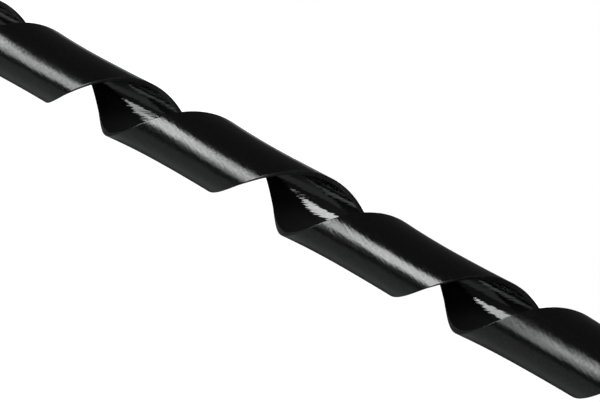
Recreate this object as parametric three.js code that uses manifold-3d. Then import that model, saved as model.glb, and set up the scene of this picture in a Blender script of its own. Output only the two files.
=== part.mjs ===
// Spiral cable wrap: one black plastic strip wound into an open tube that closes round a bundle
// of cables. It is drawn out, so its turns stand apart. Millimetres, +Z up. The tube lies along X
// on the plane Z = 0, and the origin is on that plane, below the middle of its length.
import * as THREE from 'three';
import { mergeVertices } from 'three/addons/utils/BufferGeometryUtils.js';
import Module from 'manifold-3d';

// Driving dimensions
const LENGTH = 1000;
const OUTER_DIAMETER = 20; // at the middle of the strip, on average
const WALL = 1.5;
const STRIP_WIDTH = 40; // along the tube's axis
const TURN_GAP = 25; // between one turn and the next, along the axis
const LEFT_FLARE = 0.75; // the drawn-out strip's edges stand out from its middle
const RIGHT_FLARE = 0.3;
const TURN_SHIFT = 1.6; // its turns aren't quite even: they shift to and fro along the axis,
const TURNS_PER_SHIFT = 2.6;
const TURN_SWELL = 0.5; // they grow wider and narrower,
const TURNS_PER_SWELL = 1.85;
const SWELL_START = -0.15; // in turns
const SWAY = 0.5; // and the tube sways a little to its sides
const SWAY_LENGTH = 280;
const SWAY_START = -105; // millimetres along X
const FACETS_PER_TURN = 36;

const PITCH = STRIP_WIDTH + TURN_GAP;
const OUTER_RADIUS = OUTER_DIAMETER / 2;
const FACET_ANGLE = (2 * Math.PI) / FACETS_PER_TURN;
const FLARE = Math.max(LEFT_FLARE, RIGHT_FLARE);
const START_ANGLE = -Math.PI / 2 + 15.5 * FACET_ANGLE; // puts the middle of a facet straight down

const wasm = await Module();
wasm.setup();

const plastic = new THREE.MeshStandardMaterial({ color: 0x111212, roughness: 0.35, metalness: 0 });

// A closed geometry as a solid that can be cut.
function solidOf(geometry) {
  geometry.deleteAttribute('normal');
  geometry.deleteAttribute('uv');
  const merged = mergeVertices(geometry);
  const mesh = new wasm.Mesh({
    numProp: 3,
    vertProperties: merged.getAttribute('position').array,
    triVerts: new Uint32Array(merged.index.array),
  });
  return new wasm.Manifold(mesh);
}

// A solid as a geometry that can be drawn.
function geometryOf(solid) {
  const { vertProperties, triVerts } = solid.getMesh();
  const geometry = new THREE.BufferGeometry();
  geometry.setAttribute('position', new THREE.BufferAttribute(vertProperties, 3));
  geometry.setIndex(new THREE.BufferAttribute(triVerts, 1));
  return geometry;
}

// A wave of the given size and length that starts from nothing at the given place.
function wave(size, length, place) {
  return size * Math.sin((2 * Math.PI * place) / length);
}

// A straight flat bar, measured in turns along its length, wound round the tube's axis as a
// left-hand helix: on the near side, seen with +X to the right, each turn runs up to the right.
// Every turn's widest facet lies on Z = 0 where it faces straight down.
function woundStrip() {
  const turns = 2 * Math.ceil(LENGTH / PITCH / 2 + 1);
  const bar = new THREE.BoxGeometry(turns, WALL, STRIP_WIDTH, turns * FACETS_PER_TURN, 1, 2);
  const position = bar.getAttribute('position');
  for (let i = 0; i < position.count; i++) {
    const turn = position.getX(i);
    const across = position.getZ(i) / (STRIP_WIDTH / 2);
    const flare = (across < 0 ? LEFT_FLARE : RIGHT_FLARE) * across ** 2;
    const turnRadius = OUTER_RADIUS + wave(TURN_SWELL, TURNS_PER_SWELL, turn - SWELL_START);
    const radius = turnRadius + flare - WALL / 2 + position.getY(i);
    const angle = START_ANGLE - 2 * Math.PI * turn;
    const x = PITCH * turn + wave(TURN_SHIFT, TURNS_PER_SHIFT, turn) + position.getZ(i);
    const axisY = wave(SWAY, SWAY_LENGTH, x - SWAY_START);
    const axisZ = (turnRadius + FLARE) * Math.cos(FACET_ANGLE / 2);
    position.setXYZ(i, x, axisY + radius * Math.cos(angle), axisZ + radius * Math.sin(angle));
  }
  return bar;
}

// The strip is wound longer than the wrap and cut off square at both ends.
function cutToLength(strip) {
  const room = 3 * OUTER_DIAMETER;
  const kept = new THREE.BoxGeometry(LENGTH, room, room);
  return geometryOf(solidOf(strip).intersect(solidOf(kept)));
}

const wrap = new THREE.Mesh(cutToLength(woundStrip()), plastic);
wrap.name = 'spiral_strip';

const spiralCableWrap = new THREE.Group();
spiralCableWrap.add(wrap);

export default spiralCableWrap;
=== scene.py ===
import math

import bmesh
import bpy
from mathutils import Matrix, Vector


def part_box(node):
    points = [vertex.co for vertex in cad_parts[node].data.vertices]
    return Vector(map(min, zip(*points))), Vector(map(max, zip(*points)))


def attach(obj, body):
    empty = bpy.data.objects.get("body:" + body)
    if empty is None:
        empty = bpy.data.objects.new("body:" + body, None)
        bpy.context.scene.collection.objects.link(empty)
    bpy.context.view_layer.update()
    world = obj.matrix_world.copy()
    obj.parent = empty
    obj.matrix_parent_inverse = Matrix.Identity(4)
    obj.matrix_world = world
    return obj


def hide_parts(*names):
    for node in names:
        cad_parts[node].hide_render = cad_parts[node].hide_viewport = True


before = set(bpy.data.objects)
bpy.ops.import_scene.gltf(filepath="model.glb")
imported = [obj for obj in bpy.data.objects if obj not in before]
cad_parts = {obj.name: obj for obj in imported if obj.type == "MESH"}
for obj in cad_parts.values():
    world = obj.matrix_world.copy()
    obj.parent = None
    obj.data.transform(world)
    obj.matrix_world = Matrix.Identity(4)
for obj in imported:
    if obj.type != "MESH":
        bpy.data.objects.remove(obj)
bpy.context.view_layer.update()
scene = bpy.context.scene
MM = 0.001

# Camera: a long lens above the near right, with the middle of the wrap running down to the right.
AZIMUTH = math.radians(37.96)
ELEVATION = math.radians(44.65)
CAMERA_DISTANCE = 0.8778
CAMERA_REACH = 20
LENS_MM = 180
SENSOR_MM = 36
AIM = Vector((0.01686, 0.00325, 0.00781))

# The strip, in millimetres. It lies where the solid one lies, with the same uneven turns.
low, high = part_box("spiral_strip")
LENGTH = (high.x - low.x) / MM
OUTER_RADIUS = 10
WALL = 1.5
STRIP_WIDTH = 40
PITCH = 65
START_ANGLE = math.radians(65)
LEFT_FLARE = 0.75
RIGHT_FLARE = 0.3
TURN_SHIFT = 1.6
TURNS_PER_SHIFT = 2.6
TURN_SWELL = 0.5
TURNS_PER_SWELL = 1.85
SWELL_START = -0.15
SWAY = 0.5
SWAY_LENGTH = 280
SWAY_START = -105
EDGE_ROUND = 0.18
STEPS_PER_TURN = 120
STEPS_ACROSS = 10
ROUND_STEPS = 3
OUTSIDE, INSIDE, EDGE = 0, 1, 2
# The die lines ran along the tube before it was slit and drawn out, so they cross the strip askew.
DIE_LINE_TILT = math.radians(24)
MM_PER_UV = 10

# Noise patterns. The UVs are in centimetres, and the stretch is along and across the die lines.
DIE_LINE_STRETCH = (1.2, 16, 1)
MOTTLING_SCALE = 12
MOTTLING_DETAIL = 3
WAVES_SCALE = 0.12
WAVES_DETAIL = 1
NOISE_ROUGHNESS = 0.6
NOISE_LOW, NOISE_HIGH = 0.3, 0.7
LINES_IN_HAZE = 0.4
HAZE_LOW, HAZE_HIGH = 0.5, 0.9
SPECULAR_LEVEL = 0.5

# The floor sheet, in metres. It ends close behind the wrap, closer on the right, so that the
# gloss along the wrap's rims is right. The camera sees the sheet as white too.
FLOOR_REACH = 4
FLOOR_BACK_LEFT = 0.07
FLOOR_BACK_RIGHT = 0.02
FLOOR_DROP = 0.0002
FLOOR_SHADE = 0.1
FLOOR_ROUGHNESS = 0.9

# How bright the surroundings are in the gloss. The camera itself sees them as white.
SURROUNDINGS = 0.09

# Softboxes in a row along the wrap: name, place, size along and up in metres, and power.
SOFTBOXES = (
    ("left_key_softbox", (-1.13, -0.895, 0.585), (0.54, 0.62), 11.8),
    ("low_key_softbox", (-0.745, -0.895, 0.59), (0.23, 0.55), 2.75),
    ("key_softbox", (-0.58, -0.745, 0.771), (0.1, 0.55), 1.95),
    ("bright_key_softbox", (-0.47, -0.745, 0.771), (0.12, 0.55), 2.8),
    ("dim_key_softbox", (-0.355, -0.745, 0.771), (0.11, 0.55), 1.9),
    ("low_right_softbox", (-0.255, -0.877, 0.614), (0.09, 0.6), 1),
    ("right_key_softbox", (0.065, -0.85, 0.651), (0.55, 0.6), 1.9),
    ("overhead_softbox", (0.68, -0.1, 1.1), (1.25, 0.35), 2.5),
)
FLOOR_SOFTBOX = ("floor_softbox", (0, 0.1, 1.07), (1.6, 0.6), 48)
SOFTBOX_COLOR = (0.96, 1, 0.98)


def add_camera():
    away = Vector((
        math.sin(AZIMUTH) * math.cos(ELEVATION),
        -math.cos(AZIMUTH) * math.cos(ELEVATION),
        math.sin(ELEVATION),
    ))
    data = bpy.data.cameras.new("camera")
    data.lens = LENS_MM
    data.sensor_width = SENSOR_MM
    data.clip_end = CAMERA_REACH
    camera = bpy.data.objects.new("camera", data)
    camera.location = AIM + away * CAMERA_DISTANCE
    camera.rotation_euler = (-away).to_track_quat("-Z", "Y").to_euler()
    scene.collection.objects.link(camera)
    scene.camera = camera


def strip_section():
    """The strip's outline as (across, out, face), round from the outside's right edge."""
    flat = STRIP_WIDTH / 2 - EDGE_ROUND
    steps = [1 - 2 * i / STEPS_ACROSS for i in range(STEPS_ACROSS + 1)]
    stops = [flat] + [step * (flat - EDGE_ROUND) for step in steps] + [-flat]
    angles = [math.radians(90 * i / ROUND_STEPS) for i in range(1, ROUND_STEPS + 1)]
    arc = [(flat + EDGE_ROUND * math.sin(a), EDGE_ROUND * (1 - math.cos(a))) for a in angles]
    outside = [(stop, 0, OUTSIDE) for stop in stops]
    inside = [(-stop, -WALL, INSIDE) for stop in stops]
    left = [(-across, -depth, OUTSIDE) for across, depth in arc]
    left += [(-across, depth - WALL, INSIDE) for across, depth in reversed(arc)]
    right = [(-across, out, face) for across, out, face in reversed(left)]
    return outside + left + inside + right


def wave(size, length, place):
    return size * math.sin(2 * math.pi * place / length)


def along_at(turn):
    return PITCH * turn + wave(TURN_SHIFT, TURNS_PER_SHIFT, turn)


def wound_point(turn, across, out):
    """A point of the strip, out from its outer face. Each turn's wider edge rests on the floor."""
    turn_radius = OUTER_RADIUS + wave(TURN_SWELL, TURNS_PER_SWELL, turn - SWELL_START)
    flare = (LEFT_FLARE if across < 0 else RIGHT_FLARE) * (2 * across / STRIP_WIDTH) ** 2
    radius = turn_radius + flare + out
    angle = START_ANGLE - 2 * math.pi * turn
    x = along_at(turn) + across
    axis_y = wave(SWAY, SWAY_LENGTH, x - SWAY_START)
    axis_z = turn_radius + max(LEFT_FLARE, RIGHT_FLARE)
    return Vector((x, axis_y + radius * math.cos(angle), axis_z + radius * math.sin(angle))) * MM


def add_strip(materials):
    section = strip_section()
    count = len(section)
    turns = 2 * math.ceil(LENGTH / PITCH / 2 + 1)
    steps = turns * STEPS_PER_TURN
    mesh = bmesh.new()
    uv = mesh.loops.layers.uv.new("strip")
    cos_tilt, sin_tilt = math.cos(DIE_LINE_TILT), math.sin(DIE_LINE_TILT)

    def unrolled(turn, across):
        """In centimetres along and across the die lines."""
        along = (along_at(turn) + across) / MM_PER_UV
        round_tube = 2 * math.pi * OUTER_RADIUS * turn / MM_PER_UV
        return (
            along * cos_tilt - round_tube * sin_tilt,
            along * sin_tilt + round_tube * cos_tilt,
        )

    rings = []
    for k in range(steps + 1):
        turn = k / STEPS_PER_TURN - turns / 2
        ring = [mesh.verts.new(wound_point(turn, across, out)) for across, out, _ in section]
        flat = [unrolled(turn, across) for across, _, _ in section]
        rings.append((ring, flat))
    for (ring, flat), (next_ring, next_flat) in zip(rings, rings[1:]):
        for j in range(count):
            n = (j + 1) % count
            face = mesh.faces.new((ring[j], ring[n], next_ring[n], next_ring[j]))
            face.material_index = section[j][2] if section[j][2] == section[n][2] else EDGE
            face.smooth = True
            for loop, place in zip(face.loops, (flat[j], flat[n], next_flat[n], next_flat[j])):
                loop[uv].uv = place
    for x, outward in ((low.x, -1), (high.x, 1)):
        cut = bmesh.ops.bisect_plane(
            mesh,
            geom=mesh.verts[:] + mesh.edges[:] + mesh.faces[:],
            plane_co=(x, 0, 0),
            plane_no=(outward, 0, 0),
            clear_outer=True,
        )
        rim = [e for e in cut["geom_cut"] if isinstance(e, bmesh.types.BMEdge)]
        filled = bmesh.ops.holes_fill(mesh, edges=rim, sides=0)
        for face in filled["faces"]:
            face.material_index = EDGE
            face.smooth = False
    bmesh.ops.recalc_face_normals(mesh, faces=mesh.faces[:])
    data = bpy.data.meshes.new("wound_strip")
    mesh.to_mesh(data)
    mesh.free()
    strip = bpy.data.objects.new("wound_strip", data)
    for material in materials:
        data.materials.append(material)
    scene.collection.objects.link(strip)
    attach(strip, "root")
    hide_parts("spiral_strip")


class Nodes:
    """A short way to add shader nodes and join them."""

    def __init__(self, tree):
        self.tree = tree

    def add(self, kind, inputs=None, **values):
        node = self.tree.nodes.new(kind)
        for name, value in values.items():
            setattr(node, name, value)
        for name, value in (inputs or {}).items():
            if isinstance(value, bpy.types.NodeSocket):
                self.tree.links.new(value, node.inputs[name])
            else:
                node.inputs[name].default_value = value
        return node


def plastic(name, shade, roughness, bump_mm, mottling_in_bump, waves_in_bump, line_detail, haze):
    """Black plastic with die lines along the UVs' first axis, and fine mottling between them."""
    material = bpy.data.materials.new(name)
    material.use_nodes = True
    tree = material.node_tree
    nodes = Nodes(tree)
    shader = tree.nodes["Principled BSDF"]
    shader.inputs["Base Color"].default_value = (shade, shade, shade, 1)
    uv = nodes.add("ShaderNodeUVMap", uv_map="strip").outputs["UV"]
    stretched = nodes.add(
        "ShaderNodeMapping", {"Vector": uv, "Scale": DIE_LINE_STRETCH}
    ).outputs["Vector"]

    def noise(vector, scale, detail, **more):
        inputs = {"Vector": vector, "Scale": scale, "Detail": detail, **more}
        return nodes.add("ShaderNodeTexNoise", inputs).outputs["Fac"]

    def multiply_add(value, factor, added):
        inputs = {0: value, 1: factor, 2: added}
        return nodes.add("ShaderNodeMath", inputs, operation="MULTIPLY_ADD").outputs["Value"]

    def map_range(value, start, end):
        inputs = {
            "Value": value,
            "From Min": start[0],
            "From Max": start[1],
            "To Min": end[0],
            "To Max": end[1],
        }
        return nodes.add("ShaderNodeMapRange", inputs).outputs["Result"]

    lines = noise(stretched, 1, line_detail, Roughness=NOISE_ROUGHNESS)
    mottling = noise(uv, MOTTLING_SCALE, MOTTLING_DETAIL, Roughness=NOISE_ROUGHNESS)
    waves = noise(stretched, WAVES_SCALE, WAVES_DETAIL)
    rough = map_range(mottling, (NOISE_LOW, NOISE_HIGH), roughness)
    level = map_range(
        multiply_add(lines, LINES_IN_HAZE, mottling),
        (HAZE_LOW, HAZE_HIGH),
        (SPECULAR_LEVEL - haze, SPECULAR_LEVEL + haze),
    )
    fine = multiply_add(mottling, mottling_in_bump, lines)
    height = multiply_add(waves, waves_in_bump, fine)
    bump = nodes.add("ShaderNodeBump", {"Height": height, "Distance": bump_mm * MM})
    tree.links.new(rough, shader.inputs["Roughness"])
    tree.links.new(level, shader.inputs["Specular IOR Level"])
    tree.links.new(bump.outputs["Normal"], shader.inputs["Normal"])
    return material


def add_floor():
    corners = [
        (-FLOOR_REACH, -FLOOR_REACH, 0),
        (FLOOR_REACH, -FLOOR_REACH, 0),
        (FLOOR_REACH, FLOOR_BACK_RIGHT, 0),
        (0, FLOOR_BACK_RIGHT, 0),
        (0, FLOOR_BACK_LEFT, 0),
        (-FLOOR_REACH, FLOOR_BACK_LEFT, 0),
    ]
    data = bpy.data.meshes.new("floor")
    data.from_pydata(corners, [], [range(len(corners))])
    floor = bpy.data.objects.new("floor", data)
    floor.location.z = -FLOOR_DROP
    material = bpy.data.materials.new("white_floor")
    material.use_nodes = True
    tree = material.node_tree
    nodes = Nodes(tree)
    shader = tree.nodes["Principled BSDF"]
    shader.inputs["Base Color"].default_value = (FLOOR_SHADE, FLOOR_SHADE, FLOOR_SHADE, 1)
    shader.inputs["Roughness"].default_value = FLOOR_ROUGHNESS
    shader.inputs["Specular IOR Level"].default_value = 0
    shader.inputs["Emission Color"].default_value = (1, 1, 1, 1)
    path = nodes.add("ShaderNodeLightPath")
    tree.links.new(path.outputs["Is Camera Ray"], shader.inputs["Emission Strength"])
    data.materials.append(material)
    scene.collection.objects.link(floor)


def add_world():
    world = bpy.data.worlds.new("studio")
    scene.world = world
    world.use_nodes = True
    tree = world.node_tree
    nodes = Nodes(tree)
    background = tree.nodes["Background"]
    path = nodes.add("ShaderNodeLightPath")
    strength = nodes.add(
        "ShaderNodeMapRange",
        {"Value": path.outputs["Is Camera Ray"], "To Min": SURROUNDINGS, "To Max": 1},
    )
    tree.links.new(strength.outputs["Result"], background.inputs["Strength"])
    background.inputs["Color"].default_value = (1, 1, 1, 1)


def add_softbox(name, place, size, power, mirrored=True):
    """A softbox that lies along the wrap and faces its line. One not mirrored lights the floor."""
    data = bpy.data.lights.new(name, "AREA")
    data.shape = "RECTANGLE"
    data.size, data.size_y = size
    data.energy = power
    data.color = SOFTBOX_COLOR
    light = bpy.data.objects.new(name, data)
    light.location = place
    light.rotation_euler = Vector((0, -place[1], -place[2])).to_track_quat("-Z", "Y").to_euler()
    light.visible_glossy = mirrored
    scene.collection.objects.link(light)


add_camera()
outside = plastic(
    "satin_outside",
    shade=0.0003,
    roughness=(0.11, 0.2),
    bump_mm=0.04,
    mottling_in_bump=0.45,
    waves_in_bump=3,
    line_detail=3.5,
    haze=0.12,
)
# The inside's black is lighter than the outside's: painted fill light that lifts the shade in the
# tube's hollow.
inside = plastic(
    "glossy_inside_painted_fill",
    shade=0.0025,
    roughness=(0.03, 0.07),
    bump_mm=0.032,
    mottling_in_bump=0.05,
    waves_in_bump=4,
    line_detail=1.5,
    haze=0.06,
)
edge = plastic(
    "cut_edge",
    shade=0.0006,
    roughness=(0.4, 0.5),
    bump_mm=0.02,
    mottling_in_bump=0.3,
    waves_in_bump=1,
    line_detail=4,
    haze=0.1,
)
add_strip((outside, inside, edge))
add_floor()
add_world()
for softbox in SOFTBOXES:
    add_softbox(*softbox)
add_softbox(*FLOOR_SOFTBOX, mirrored=False)
scene.view_settings.view_transform = "Standard"
